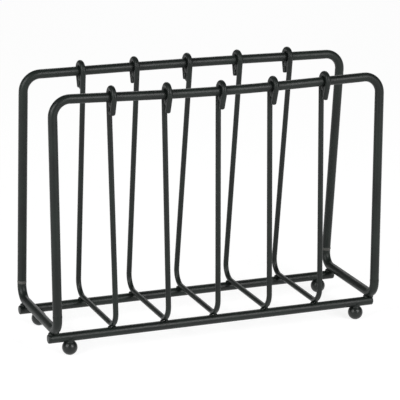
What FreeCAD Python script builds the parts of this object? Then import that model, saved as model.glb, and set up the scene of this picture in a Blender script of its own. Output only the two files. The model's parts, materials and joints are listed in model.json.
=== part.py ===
import FreeCAD, Part
import math
import os

# Wire magazine rack: bent steel rod, welded and painted, standing on four ball feet.
# Millimetres. X runs along the rack, Y from front (-) to back (+), Z up. The origin is on the
# floor, midway between the feet. Two leaning hoops are butt welded to two base yokes, the yokes
# lie across two base rails, and five lighter rods hook over the top rails to divide the rack.

Vector = FreeCAD.Vector

# Which side along Y, which end along X
FRONT = -1
BACK = 1
LEFT = -1
RIGHT = 1
SIDE_NAMES = {FRONT: "front", BACK: "back"}
END_NAMES = {LEFT: "left", RIGHT: "right"}

# Rod and ball stock
FRAME_ROD_D = 9.5
DIVIDER_ROD_D = 5.6
FOOT_BALL_D = 15.8

# Hoops, measured between rod centrelines; rises are above the yokes' centrelines
TOP_SPAN = 356.0
BASE_SPAN = 352.8
TOP_DEPTH = 92.0
BASE_DEPTH = 118.8
FRONT_HOOP_RISE = 236.6
BACK_HOOP_RISE = 240.8
FRONT_RAIL_DIP = 4.8
BACK_RAIL_DIP = -1.5
RAIL_BOW_SHARE = 0.45
TOP_CORNER_R = 17.5

# Base yokes and the butt joints above their bends
YOKE_BEND_R = 14.0
YOKE_END_STRAIGHT = 3.0
BUTT_WELD_LENGTH = 2.4
BUTT_WELD_BULGE = 0.35

# Base rails
RAIL_SPACING = 92.4
RAIL_SHIFTS = {FRONT: -0.8, BACK: -1.8}
RAIL_OVERHANG = 0.6
RAIL_END_ROUNDING = 1.2

# Dividers, evenly pitched but for a few millimetres either way at the base and at the top rails
DIVIDER_PITCH = 57.4
DIVIDER_BASE_SHIFTS = (0.5, 0.0, -3.0, -2.5, -2.0)
DIVIDER_TOP_SHIFTS = (-2.0, -1.0, 0.0, -0.5, 0.0)
DIVIDER_BEND_R = 15.5
DIVIDER_BEND_INSET = 1.8
HOOK_CLEARANCE = 0.3
HOOK_TUCK = math.radians(17.0)
HOOK_TIP_DROP = 18.0
HOOK_TIP_ROUNDING = 0.8
HOOK_ARCS = 3

# Feet, inset along the rails from the yokes' centrelines
FOOT_INSETS = {(FRONT, LEFT): 17.0, (FRONT, RIGHT): 14.5, (BACK, LEFT): 14.5, (BACK, RIGHT): 14.5}
FOOT_SEAT_DEPTH = 1.4

# Weld beads. At a base crossing a bead sits beside the crossing rod, by a share of the rod's radius.
# A hook bead sits out from the top rail's surface. A foot's collar is a share of its ball's radius.
YOKE_BEAD_R = 2.5
YOKE_BEAD_OUT_SHARE = 0.69
DIVIDER_BEAD_R = 1.9
DIVIDER_BEAD_OUT_SHARE = 0.86
HOOK_BEAD_R = 2.2
HOOK_BEAD_OUT = 1.25
HOOK_BEAD_ANGLE = math.radians(45.0)
FOOT_COLLAR_SHARE = 0.67
FOOT_COLLAR_LENGTH = 2.6
FOOT_COLLAR_DROP = 1.3

# Sizes that follow from the ones above
FRAME_R = FRAME_ROD_D / 2
DIVIDER_R = DIVIDER_ROD_D / 2
HOOK_R = FRAME_R + HOOK_CLEARANCE + DIVIDER_R
RAIL_Z = FOOT_BALL_D - FOOT_SEAT_DEPTH + FRAME_R
RAIL_Y = RAIL_SPACING / 2
TOP_Y = TOP_DEPTH / 2
BASE_Y = BASE_DEPTH / 2
TOP_X = TOP_SPAN / 2
BASE_X = BASE_SPAN / 2
RAIL_HALF_LENGTH = BASE_X + FRAME_R + RAIL_OVERHANG
DIVIDER_COUNT = len(DIVIDER_BASE_SHIFTS)
SHORT_RUN = 1e-6
BEAD_RUN = 3 * FRAME_ROD_D
LEAN_ROUNDS = 20
HOOP_RISES = {FRONT: FRONT_HOOP_RISE, BACK: BACK_HOOP_RISE}
RAIL_DIPS = {FRONT: FRONT_RAIL_DIP, BACK: BACK_RAIL_DIP}


def direction(start, end):
    """Unit vector from one point to another."""
    step = end - start
    return step / step.Length


def rounded_path(points, radii):
    """Wire of straight runs joined by tangent arcs; radii[i] rounds points[i + 1]."""
    edges = []
    start = points[0]
    for before, corner, after, radius in zip(points, points[1:], points[2:], radii):
        heading_in = direction(before, corner)
        heading_out = direction(corner, after)
        half_turn = heading_in.getAngle(heading_out) / 2
        if half_turn < SHORT_RUN:
            continue
        reach = radius * math.tan(half_turn)
        arc_start = corner - heading_in * reach
        arc_end = corner + heading_out * reach
        toward_centre = heading_out - heading_in
        toward_centre = toward_centre / toward_centre.Length
        arc_middle = corner + toward_centre * (radius / math.cos(half_turn) - radius)
        if (arc_start - start).Length > SHORT_RUN:
            edges.append(Part.LineSegment(start, arc_start).toShape())
        edges.append(Part.Arc(arc_start, arc_middle, arc_end).toShape())
        start = arc_end
    edges.append(Part.LineSegment(start, points[-1]).toShape())
    return Part.Wire(edges)


def bent_rod(points, radii, diameter):
    """Round rod swept along a rounded path."""
    path = rounded_path(points, radii)
    heading = direction(points[0], points[1])
    section = Part.Wire(Part.makeCircle(diameter / 2, points[0], heading))
    return path.makePipeShell([section], True, False)


def rounded_ends(rod, rounding, ends):
    """Rod with the rim of each flat end rounded over."""
    rims = []
    for end in ends:
        rims += [edge for edge in rod.Edges if edge.Closed and (edge.CenterOfMass - end).Length < rounding]
    return rod.makeFillet(rounding, rims)


def main_solid(shape):
    """The largest solid of a cut."""
    return max(shape.Solids, key=lambda solid: solid.Volume)


def resting_height(bend_start, bend_radius, rod_radius):
    """Height of a cross rod's centreline when the rod, or the start of its bend, rests on a base rail."""
    inset = max(RAIL_Y - bend_start, 0)
    return RAIL_Z + math.sqrt((bend_radius + rod_radius + FRAME_R) ** 2 - inset ** 2) - bend_radius


def yoke_bend_reach(side):
    """Length of a yoke bend's tangent, from the corner of the leg's line and the yoke's line."""
    lean = math.atan2(BASE_Y - TOP_Y, HOOP_RISES[side])
    return YOKE_BEND_R * math.tan((math.pi / 2 - lean) / 2)


YOKE_Z = resting_height(BASE_Y - max(yoke_bend_reach(side) for side in HOOP_RISES), YOKE_BEND_R, FRAME_R)
DIVIDER_BASE_Z = resting_height(RAIL_Y - DIVIDER_BEND_INSET, DIVIDER_BEND_R, DIVIDER_R)


def rail_bend(side):
    """Half turn and radius of the gentle bend in the middle of a top rail."""
    half_turn = math.atan2(abs(RAIL_DIPS[side]), TOP_X)
    radius = RAIL_BOW_SHARE * TOP_X / max(math.tan(half_turn), SHORT_RUN)
    return half_turn, radius


def top_rail_z(side, x):
    """Height of a top rail's centreline at a place along the rack."""
    half_turn, radius = rail_bend(side)
    dip = abs(RAIL_DIPS[side])
    rise_from_corner = abs(x) * math.tan(half_turn)
    if abs(x) < radius * math.sin(half_turn):
        rise_from_corner = radius / math.cos(half_turn) - math.sqrt(radius ** 2 - x ** 2)
    fall = math.copysign(dip - rise_from_corner, RAIL_DIPS[side])
    return YOKE_Z + HOOP_RISES[side] - fall


def hoop_corners(side, end):
    """Where a hoop leg's centreline meets the yoke's line and the top rail's line."""
    base = Vector(end * BASE_X, side * BASE_Y, YOKE_Z)
    top = Vector(end * TOP_X, side * TOP_Y, YOKE_Z + HOOP_RISES[side])
    return base, top


def butt_joint(side, end):
    """Centre of the butt weld on a leg, and the leg's upward direction there."""
    base, top = hoop_corners(side, end)
    upward = direction(base, top)
    along = yoke_bend_reach(side) + YOKE_END_STRAIGHT + BUTT_WELD_LENGTH / 2
    return base + upward * along, upward


def hoop(side):
    """Inverted U of frame rod: two leaning legs and a top rail."""
    feet = []
    for end in (LEFT, RIGHT):
        joint, upward = butt_joint(side, end)
        feet.append(joint + upward * (BUTT_WELD_LENGTH / 2))
    tops = [hoop_corners(side, end)[1] for end in (LEFT, RIGHT)]
    middle = (tops[0] + tops[1]) / 2 - Vector(0, 0, RAIL_DIPS[side])
    bow_radius = rail_bend(side)[1]
    points = [feet[0], tops[0], middle, tops[1], feet[1]]
    return bent_rod(points, [TOP_CORNER_R, bow_radius, TOP_CORNER_R], FRAME_ROD_D)


def base_yoke(end):
    """Cross piece of frame rod with both ends bent up to meet the hoops' legs."""
    tips = []
    for side in (FRONT, BACK):
        joint, upward = butt_joint(side, end)
        tips.append(joint - upward * (BUTT_WELD_LENGTH / 2))
    corners = [hoop_corners(side, end)[0] for side in (FRONT, BACK)]
    return bent_rod([tips[0], corners[0], corners[1], tips[1]], [YOKE_BEND_R, YOKE_BEND_R], FRAME_ROD_D)


def butt_weld(side, end):
    """Barrel of weld metal between a hoop leg and a yoke end."""
    half = BUTT_WELD_LENGTH / 2
    rim_low = Vector(FRAME_R, 0, -half)
    rim_high = Vector(FRAME_R, 0, half)
    belly = Vector(FRAME_R + BUTT_WELD_BULGE, 0, 0)
    outline = Part.Wire([
        Part.LineSegment(Vector(0, 0, -half), rim_low).toShape(),
        Part.Arc(rim_low, belly, rim_high).toShape(),
        Part.LineSegment(rim_high, Vector(0, 0, half)).toShape(),
        Part.LineSegment(Vector(0, 0, half), Vector(0, 0, -half)).toShape(),
    ])
    barrel = Part.Face(outline).revolve(Vector(0, 0, 0), Vector(0, 0, 1), 360)
    centre, upward = butt_joint(side, end)
    barrel.Placement = FreeCAD.Placement(centre, FreeCAD.Rotation(Vector(0, 0, 1), upward))
    return barrel


def base_rail(side):
    """Straight rail of frame rod under the yokes and dividers."""
    start = Vector(RAIL_SHIFTS[side] - RAIL_HALF_LENGTH, side * RAIL_Y, RAIL_Z)
    rod = Part.makeCylinder(FRAME_R, 2 * RAIL_HALF_LENGTH, start, Vector(1, 0, 0))
    ends = [start, start + Vector(2 * RAIL_HALF_LENGTH, 0, 0)]
    return rounded_ends(rod, RAIL_END_ROUNDING, ends)


class DividerPlane:
    """The upright plane of one divider, leaning along the rack from its base place to its top place."""

    def __init__(self, index):
        place = (index - (DIVIDER_COUNT - 1) / 2) * DIVIDER_PITCH
        self.base_x = place + DIVIDER_BASE_SHIFTS[index]
        self.top_x = place + DIVIDER_TOP_SHIFTS[index]
        rail_z = (top_rail_z(FRONT, self.top_x) + top_rail_z(BACK, self.top_x)) / 2
        self.lean = math.atan2(self.top_x - self.base_x, rail_z - DIVIDER_BASE_Z)

    def point(self, side, outward, up):
        """Place in the plane: outward from the rack's middle, and up the plane from the base."""
        return Vector(self.base_x + up * math.sin(self.lean), side * outward,
                      DIVIDER_BASE_Z + up * math.cos(self.lean))

    def rail_up(self, side):
        """How far up the plane a top rail's centreline crosses it."""
        return (top_rail_z(side, self.top_x) - DIVIDER_BASE_Z) / math.cos(self.lean)


def leg_lean(rail_up):
    """Inward lean of a divider's leg, and how far out its base corner lies."""
    lean = 0.0
    for _ in range(LEAN_ROUNDS):
        bend_reach = DIVIDER_BEND_R * math.tan((math.pi / 2 - lean) / 2)
        corner_y = RAIL_Y - DIVIDER_BEND_INSET + bend_reach
        outward = corner_y - TOP_Y
        lean = math.atan2(outward, rail_up) + math.asin(HOOK_R / math.hypot(outward, rail_up))
    return lean, corner_y


def divider_half(plane, side):
    """Points from a divider's hook tip, over the top rail and down its leg to the base corner."""
    rail_up = plane.rail_up(side)
    lean, corner_y = leg_lean(rail_up)
    arc = (math.pi + HOOK_TUCK + lean) / HOOK_ARCS
    reach = HOOK_R / math.cos(arc / 2)
    points = [plane.point(side, corner_y, 0)]
    for index in range(HOOK_ARCS):
        angle = (index + 0.5) * arc - lean
        points.append(plane.point(side, TOP_Y - reach * math.cos(angle), rail_up + reach * math.sin(angle)))
    stub = (HOOK_TIP_DROP - HOOK_R * math.sin(HOOK_TUCK)) / math.cos(HOOK_TUCK)
    tip_y = TOP_Y + HOOK_R * math.cos(HOOK_TUCK) - stub * math.sin(HOOK_TUCK)
    points.append(plane.point(side, tip_y, rail_up - HOOK_TIP_DROP))
    return points[::-1]


def divider(plane):
    """Light rod hooked over both top rails and resting across both base rails."""
    front = divider_half(plane, FRONT)
    back = divider_half(plane, BACK)[::-1]
    half_radii = [HOOK_R] * HOOK_ARCS + [DIVIDER_BEND_R]
    rod = bent_rod(front + back, half_radii + half_radii[::-1], DIVIDER_ROD_D)
    return rounded_ends(rod, HOOK_TIP_ROUNDING, [front[0], back[-1]])


def foot_x(side, end):
    """Place of a foot along the rack."""
    return end * (BASE_X - FOOT_INSETS[side, end])


def foot(side, end, rail):
    """Steel ball with a groove in its top where the base rail sits."""
    centre = Vector(foot_x(side, end), side * RAIL_Y, FOOT_BALL_D / 2)
    ball = Part.makeSphere(FOOT_BALL_D / 2, centre)
    return main_solid(ball.cut(rail))


def foot_weld(side, end, rail, ball):
    """Collar of weld metal in the corner between a ball and its rail."""
    base = Vector(foot_x(side, end), side * RAIL_Y, RAIL_Z - FRAME_R - FOOT_COLLAR_DROP)
    collar = Part.makeCylinder(FOOT_COLLAR_SHARE * FOOT_BALL_D / 2, FOOT_COLLAR_LENGTH, base)
    return main_solid(collar.cut(rail).cut(ball))


def bead(centre, radius, joined):
    """Lump of weld metal, cut to sit face to face on the rods that it joins.

    Each joined rod is a point on its centreline, its heading and its radius. The cut is made with a
    straight run of that rod, its seam turned away from the bead; the lump's own seam faces out.
    """
    outward = Vector(0, 0, 0)
    runs = []
    for on_line, heading, rod_radius in joined:
        out = centre - on_line
        out = out - heading * out.dot(heading)
        start = on_line - heading * (BEAD_RUN / 2)
        run = Part.makeCylinder(rod_radius, BEAD_RUN)
        run.Placement = FreeCAD.Placement(start, FreeCAD.Rotation(-out, Vector(0, 0, 0), heading, "ZXY"))
        runs.append(run)
        outward = outward + out / out.Length
    lump = Part.makeSphere(radius)
    turn = FreeCAD.Rotation(outward, Vector(0, 0, 0), joined[0][1], "ZXY")
    lump.Placement = FreeCAD.Placement(centre, turn)
    for run in runs:
        lump = lump.cut(run)
    return main_solid(lump)


def crossing_beads(x, side, rod_radius, rod_z, bead_radius, out):
    """Two beads on a base rail, one against each flank of the rod that crosses it."""
    rail = (Vector(x, side * RAIL_Y, RAIL_Z), Vector(1, 0, 0), FRAME_R)
    rod = (Vector(x, side * RAIL_Y, rod_z), Vector(0, 1, 0), rod_radius)
    centres = [Vector(x + end * out, side * RAIL_Y, RAIL_Z + FRAME_R) for end in (LEFT, RIGHT)]
    return [bead(centre, bead_radius, (rail, rod)) for centre in centres]


def hook_bead(plane, side):
    """Bead under a top rail, in the corner between the rail and a divider's leg."""
    rail_up = plane.rail_up(side)
    lean, corner_y = leg_lean(rail_up)
    reach = FRAME_R + HOOK_BEAD_OUT
    inward = TOP_Y - reach * math.cos(HOOK_BEAD_ANGLE)
    centre = plane.point(side, inward, rail_up - reach * math.sin(HOOK_BEAD_ANGLE))
    near, far = [plane.top_x + end * HOOK_BEAD_R for end in (LEFT, RIGHT)]
    rail_heading = direction(Vector(near, 0, top_rail_z(side, near)), Vector(far, 0, top_rail_z(side, far)))
    rail = (plane.point(side, TOP_Y, rail_up), rail_heading, FRAME_R)
    leg_base = plane.point(side, corner_y, 0)
    leg_top = plane.point(side, TOP_Y - HOOK_R * math.cos(lean), rail_up - HOOK_R * math.sin(lean))
    return bead(centre, HOOK_BEAD_R, (rail, (leg_top, direction(leg_base, leg_top), DIVIDER_R)))


def build():
    """All the nodes of the rack: each name with its list of solids."""
    sides = (FRONT, BACK)
    ends = (LEFT, RIGHT)
    hoops = {side: hoop(side) for side in sides}
    yokes = {end: base_yoke(end) for end in ends}
    rails = {side: base_rail(side) for side in sides}
    planes = [DividerPlane(index) for index in range(DIVIDER_COUNT)]
    dividers = [divider(plane) for plane in planes]

    nodes = {SIDE_NAMES[side] + "_hoop": [hoops[side]] for side in sides}
    nodes.update({END_NAMES[end] + "_base_yoke": [yokes[end]] for end in ends})
    nodes.update({SIDE_NAMES[side] + "_base_rail": [rails[side]] for side in sides})
    nodes.update({f"divider_{index + 1}": [rod] for index, rod in enumerate(dividers)})
    nodes["hoop_butt_welds"] = [butt_weld(side, end) for side in sides for end in ends]
    nodes["foot_welds"] = []
    for side in sides:
        for end in ends:
            ball = foot(side, end, rails[side])
            nodes[f"foot_{SIDE_NAMES[side]}_{END_NAMES[end]}"] = [ball]
            nodes["foot_welds"].append(foot_weld(side, end, rails[side], ball))
    for end in ends:
        beads = []
        for side in sides:
            beads += crossing_beads(end * BASE_X, side, FRAME_R, YOKE_Z, YOKE_BEAD_R,
                                    YOKE_BEAD_OUT_SHARE * FRAME_R)
        nodes[END_NAMES[end] + "_yoke_welds"] = beads
    for side in sides:
        base_beads = []
        hook_beads = []
        for plane in planes:
            base_beads += crossing_beads(plane.base_x, side, DIVIDER_R, DIVIDER_BASE_Z, DIVIDER_BEAD_R,
                                         DIVIDER_BEAD_OUT_SHARE * DIVIDER_R)
            hook_beads.append(hook_bead(plane, side))
        nodes[SIDE_NAMES[side] + "_divider_welds"] = base_beads
        nodes[SIDE_NAMES[side] + "_hook_welds"] = hook_beads
    return nodes


def export(nodes):
    """Write one STEP file for each node."""
    os.makedirs("parts", exist_ok=True)
    for name, solids in nodes.items():
        shape = solids[0] if len(solids) == 1 else Part.makeCompound(solids)
        shape.exportStep(f"parts/{name}.step")
        box = shape.BoundBox
        print(f"{name}: {len(solids)} solids, valid {shape.isValid()}, volume {shape.Volume:.1f},"
              f" z {box.ZMin:.2f} to {box.ZMax:.2f}")


export(build())
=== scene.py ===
"""Wire magazine rack: bent steel rod, welded, powder coated in satin black, on four ball feet.

Metres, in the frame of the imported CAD: X along the rack, Y from front to back, Z up, floor at zero.
Every rod is a round section carried along its centreline, every weld is a lumpy closed surface and
every foot is a turned ball, all worked out as whole numpy arrays.
"""
import json
import logging
import math
from dataclasses import dataclass, field
from enum import Enum
from typing import Callable, Sequence

import bpy
import numpy as np
from mathutils import Matrix, Vector

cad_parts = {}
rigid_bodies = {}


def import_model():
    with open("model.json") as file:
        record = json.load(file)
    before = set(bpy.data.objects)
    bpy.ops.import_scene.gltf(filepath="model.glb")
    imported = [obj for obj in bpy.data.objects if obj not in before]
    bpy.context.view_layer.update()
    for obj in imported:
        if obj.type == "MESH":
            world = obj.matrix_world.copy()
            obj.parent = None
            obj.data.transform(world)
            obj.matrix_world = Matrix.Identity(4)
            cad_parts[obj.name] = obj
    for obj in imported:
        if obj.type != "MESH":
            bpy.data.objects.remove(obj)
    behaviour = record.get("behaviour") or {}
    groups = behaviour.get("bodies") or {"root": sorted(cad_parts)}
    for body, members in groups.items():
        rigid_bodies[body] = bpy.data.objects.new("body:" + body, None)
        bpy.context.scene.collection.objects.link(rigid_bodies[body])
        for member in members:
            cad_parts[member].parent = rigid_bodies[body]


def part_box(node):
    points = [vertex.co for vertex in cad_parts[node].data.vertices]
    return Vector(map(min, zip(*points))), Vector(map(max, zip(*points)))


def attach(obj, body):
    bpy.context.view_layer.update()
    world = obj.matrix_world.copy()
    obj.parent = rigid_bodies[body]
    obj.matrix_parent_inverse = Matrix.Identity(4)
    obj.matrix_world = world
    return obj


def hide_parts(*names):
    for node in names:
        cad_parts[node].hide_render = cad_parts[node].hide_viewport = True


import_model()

log = logging.getLogger("rack")
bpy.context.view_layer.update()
MM = 0.001
WHITE = (1.0, 1.0, 1.0, 1.0)
DIVIDER_COUNT = 5
LEG_STEPS = 20


class Side(Enum):
    """Which long side of the rack a piece is on, as its sign along Y."""

    FRONT = -1
    BACK = 1

    @property
    def word(self) -> str:
        """The side's word in the names of nodes."""
        return self.name.lower()


class End(Enum):
    """Which short end of the rack a piece is at, as its sign along X."""

    LEFT = -1
    RIGHT = 1

    @property
    def word(self) -> str:
        """The end's word in the names of nodes."""
        return self.name.lower()


class WeldFinish(Enum):
    """How a butt weld was dressed before painting."""

    BLENDED = "filed almost flush"
    GROUND = "ground flat with a coarse disc"
    PROUD = "left as it was laid"


# ---------------------------------------------------------------- arrays and meshes

def unit(v: np.ndarray) -> np.ndarray:
    """Vectors of length one: each divided by its own length."""
    return v / np.linalg.norm(v, axis=-1, keepdims=True)


def smooth_step(x: np.ndarray, low: float, high: float) -> np.ndarray:
    """Zero below low, one above high, and 3t^2 - 2t^3 between them."""
    t = np.clip((x - low) / (high - low), 0.0, 1.0)
    return t * t * (3.0 - 2.0 * t)


def closeness(points: np.ndarray, centres: np.ndarray, reach: float) -> np.ndarray:
    """One at the nearest centre, falling as exp(-(distance / reach)^2).

    Args:
        points: Places, with xyz on the last axis.
        centres: Centres, one in each row.
        reach: Distance at which the value has fallen to 1/e, in metres.

    Returns:
        The highest value over the centres, for each point.
    """
    nearest = np.full(points.shape[:-1], np.inf)
    for centre in centres:
        nearest = np.minimum(nearest, ((points - centre) ** 2).sum(axis=-1))
    return np.exp(-nearest / reach ** 2)


def wavy(along: np.ndarray, around: np.ndarray, seed: int, pitch: float, waves: int = 7) -> np.ndarray:
    """Smooth unevenness between -1 and 1: the mean of sines of (k * along + m * around + phase).

    Args:
        along: Distance along the piece, in metres.
        around: Angle about the piece; m is a whole number, so that the sum closes on itself.
        seed: Seed of the random k, m and phases.
        pitch: Shortest wave along the piece, in metres.
        waves: Number of sines.

    Returns:
        The unevenness, of the arguments' common shape.
    """
    rng = np.random.default_rng(seed)
    total = np.zeros(np.broadcast(along, around).shape)
    for _ in range(waves):
        k = 2.0 * math.pi / (pitch * rng.uniform(1.0, 4.0)) * rng.choice((-1.0, 1.0))
        total = total + np.sin(k * along + rng.integers(0, 4) * around + rng.uniform(0.0, 2.0 * math.pi))
    return total / waves


def closed_surface(name: str, grid: np.ndarray, marks: dict[str, np.ndarray]) -> bpy.types.Object:
    """Mesh object of a grid that closes on itself around its second axis and at both poles.

    Args:
        name: Name of the piece.
        grid: Points, rings by places around a ring by xyz. The first and the last ring are closed
            with one pole each, at the ring's mean.
        marks: Per-point values by attribute name, rings by places around a ring.

    Returns:
        The new object, linked to the scene, with its faces pointing outwards.
    """
    rings, around, _ = grid.shape
    poles = grid[[0, -1]].mean(axis=1)
    points = np.concatenate([grid.reshape(-1, 3), poles])
    here = np.arange(around)
    after = (here + 1) % around
    ring = np.arange(rings - 1)[:, None] * around
    quads = np.stack([ring + here, ring + after, ring + around + after, ring + around + here], axis=-1)
    quads = quads.reshape(-1, 4)
    last_ring = (rings - 1) * around
    low_pole = np.full(around, rings * around)
    low_cap = np.stack([low_pole, after, here], axis=-1)
    high_cap = np.stack([low_pole + 1, last_ring + here, last_ring + after], axis=-1)
    corners = points[quads]
    normals = np.cross(corners[:, 2] - corners[:, 0], corners[:, 3] - corners[:, 1])
    volume = (normals * (corners.mean(axis=1) - points.mean(axis=0))).sum()
    faces = [quads, low_cap, high_cap]
    if volume < 0:
        faces = [f[:, ::-1] for f in faces]
    mesh = bpy.data.meshes.new(name)
    mesh.from_pydata(points.tolist(), [], [row for f in faces for row in f.tolist()])
    for mark, values in marks.items():
        ends = [values[0].mean(), values[-1].mean()]
        attribute = mesh.attributes.new(mark, "FLOAT", "POINT")
        attribute.data.foreach_set("value", np.concatenate([values.ravel(), ends]).astype(np.float32))
    mesh.polygons.foreach_set("use_smooth", np.ones(len(mesh.polygons), dtype=bool))
    mesh.update()
    piece = bpy.data.objects.new(name, mesh)
    bpy.context.scene.collection.objects.link(piece)
    return piece


# ---------------------------------------------------------------- shader maths

class Value:
    """A socket in a node tree, with arithmetic that adds Math nodes."""

    def __init__(self, graph: "Graph", socket: bpy.types.NodeSocket) -> None:
        """Keep the socket and the graph that it is in."""
        self.graph = graph
        self.socket = socket

    def _math(self, operation: str, first: "Value | float", second: "Value | float") -> "Value":
        """Math node on two values."""
        return self.graph.node("ShaderNodeMath", {"operation": operation}, {0: first, 1: second})

    def __add__(self, other: "Value | float") -> "Value":
        """This value plus another."""
        return self._math("ADD", self, other)

    def __radd__(self, other: float) -> "Value":
        """A number plus this value."""
        return self._math("ADD", other, self)

    def __sub__(self, other: "Value | float") -> "Value":
        """This value minus another."""
        return self._math("SUBTRACT", self, other)

    def __rsub__(self, other: float) -> "Value":
        """A number minus this value."""
        return self._math("SUBTRACT", other, self)

    def __mul__(self, other: "Value | float") -> "Value":
        """This value times another."""
        return self._math("MULTIPLY", self, other)

    def __rmul__(self, other: float) -> "Value":
        """A number times this value."""
        return self._math("MULTIPLY", other, self)

    def larger(self, other: "Value | float") -> "Value":
        """The larger of this value and another."""
        return self._math("MAXIMUM", self, other)

    def band(self, low: float, high: float) -> "Value":
        """Zero below low, one above high, smooth between."""
        settings = {"interpolation_type": "SMOOTHSTEP", "clamp": True}
        sockets = {"Value": self, "From Min": low, "From Max": high}
        return self.graph.node("ShaderNodeMapRange", settings, sockets)


class Graph:
    """The node tree of one material or world."""

    def __init__(self, tree: bpy.types.NodeTree) -> None:
        """Empty the tree."""
        self.tree = tree
        tree.nodes.clear()

    def node(self, kind: str, settings: dict[str, object], sockets: dict[str | int, object],
             output: str | int = 0) -> Value:
        """Add a node, set it up and connect it.

        Args:
            kind: Type of the node.
            settings: Properties, set before the sockets.
            sockets: Values, colours or links, by the input's name or place.
            output: Which of its outputs to return.

        Returns:
            The output.
        """
        node = self.tree.nodes.new(kind)
        for key, value in settings.items():
            setattr(node, key, value)
        for key, value in sockets.items():
            if isinstance(value, Value):
                self.tree.links.new(value.socket, node.inputs[key])
            else:
                node.inputs[key].default_value = value
        return Value(self, node.outputs[output])

    def output(self, kind: str, surface: Value) -> None:
        """End the tree in an output node of a type, which shows this shader."""
        node = self.tree.nodes.new(kind)
        self.tree.links.new(surface.socket, node.inputs["Surface"])

    def colour_mix(self, share: Value, first: object, second: object) -> Value:
        """First colour where share is zero, second where it is one."""
        settings = {"data_type": "RGBA", "blend_type": "MIX", "clamp_factor": True}
        return self.node("ShaderNodeMix", settings, {0: share, 6: first, 7: second}, 2)

    def noise(self, coordinates: Value, scale: float, detail: float = 2.0,
              roughness: float = 0.5) -> Value:
        """Noise at a scale, in waves per metre."""
        sockets = {"Vector": coordinates, "Scale": scale, "Detail": detail, "Roughness": roughness}
        return self.node("ShaderNodeTexNoise", {}, sockets)

    def mark(self, name: str) -> Value:
        """A point attribute of the piece."""
        return self.node("ShaderNodeAttribute", {"attribute_name": name}, {}, "Fac")


def shade(red: int, green: int, blue: int) -> tuple[float, float, float, float]:
    """Linear colour of an 8-bit sRGB one, by the sRGB transfer curve."""
    levels = np.array([red, green, blue]) / 255.0
    linear = np.where(levels <= 0.04045, levels / 12.92, ((levels + 0.055) / 1.055) ** 2.4)
    return (*linear.tolist(), 1.0)


@dataclass(frozen=True)
class PowderCoat:
    """Satin powder coat baked on steel: orange peel, specks, wear, rough places, painted shade at joints and a
    painted sheen along the hoops' rail tops.
    """

    name: str
    slot: str
    paint: tuple[int, int, int] = (23, 31, 27)
    deep: tuple[int, int, int] = (16, 21, 19)
    rubbed_and_sheen: tuple[int, int, int] = (60, 62, 60)
    dust: tuple[int, int, int] = (64, 67, 64)
    roughness: float = 0.40
    specular: float = 0.34
    peel_height: float = 0.06 * MM
    speck_share: float = 1.0
    cloud_scale: float = 38.0
    peel_scale: float = 620.0
    grit_scale: float = 1250.0
    grain_scale: float = 2100.0

    def material(self) -> bpy.types.Material:
        """Build the node material.

        Returns:
            A material whose colour, roughness and bump follow Object coordinates and three marks: wear that
            also paints a sheen on the hoops' rail tops, rough specks, and thick paint that also paints shade
            at joints.
        """
        material = bpy.data.materials.new(self.name)
        material.use_nodes = True
        graph = Graph(material.node_tree)
        place = graph.node("ShaderNodeTexCoord", {}, {}, "Object")
        cloud = graph.noise(place, self.cloud_scale, 3.0).band(0.35, 0.68)
        peel = graph.noise(place, self.peel_scale, 2.0, 0.45)
        grain = graph.noise(place, self.grain_scale, 3.0, 0.6)
        grit = graph.noise(place, self.grit_scale, 2.0, 0.55)
        rubbed_and_sheen = graph.mark("rubbed_and_sheen")
        speckled = graph.mark("speckled")
        pooled_and_shade = graph.mark("pooled_and_shade")

        body = graph.colour_mix(cloud, shade(*self.deep), shade(*self.paint))
        # Painted shade: near the joints, where the dividers hook over the top rails and at the ball necks, the
        # colour is mixed towards the deep tone.
        body = graph.colour_mix(pooled_and_shade * 0.55, body, shade(*self.deep))
        specks = grit.band(0.66, 0.74) * (0.35 * self.speck_share + speckled * 0.65)
        body = graph.colour_mix(specks, body, shade(*self.dust))
        # Lighter wear on tips, cut ends, divider crests and ball soles; along the hoops' rail tops the same
        # lighter mark is a painted sheen.
        worn_and_sheen = (rubbed_and_sheen + grain * 0.5 - 0.3).band(0.3, 0.9)
        colour = graph.colour_mix(worn_and_sheen * 0.6, body, shade(*self.rubbed_and_sheen))

        uneven = peel * 0.16 + grain * 0.08 + cloud * 0.05
        rough = self.roughness - 0.12 + uneven + speckled * 0.12 - pooled_and_shade * 0.08 - worn_and_sheen * 0.06
        height = peel * 0.7 + grain * (0.2 + speckled * 0.9)
        height = height + grit.band(0.60, 0.74) * (0.15 + speckled * 0.5)
        sockets = {"Height": height, "Distance": self.peel_height, "Strength": 1.0}
        bump = graph.node("ShaderNodeBump", {}, sockets)
        finish = graph.node("ShaderNodeBsdfPrincipled", {}, {
            "Base Color": colour, "Roughness": rough, "Normal": bump,
            "Specular IOR Level": self.specular, "IOR": 1.5,
        })
        graph.output("ShaderNodeOutputMaterial", finish)
        return material

    def dress(self, piece: bpy.types.Object, *nodes: str) -> bpy.types.Object:
        """Give a piece this finish and fix it to the frame.

        Args:
            piece: The piece, at the origin.
            nodes: CAD nodes that it stands for.

        Returns:
            The same piece.
        """
        material = bpy.data.materials.get(self.name) or self.material()
        piece.data.materials.clear()
        piece.data.materials.append(material)
        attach(piece, "root")
        if nodes:
            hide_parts(*nodes)
        return piece


ROD_PAINT = PowderCoat("rod_powder_coat", "rod_paint")
FOOT_PAINT = PowderCoat("foot_powder_coat", "foot_paint", paint=(20, 26, 23), deep=(13, 18, 16),
                        roughness=0.34, specular=0.42)
WELD_PAINT = PowderCoat("weld_powder_coat", "weld_paint", paint=(20, 27, 23), deep=(14, 19, 17),
                        roughness=0.44, peel_height=0.12 * MM, speck_share=1.6)
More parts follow.
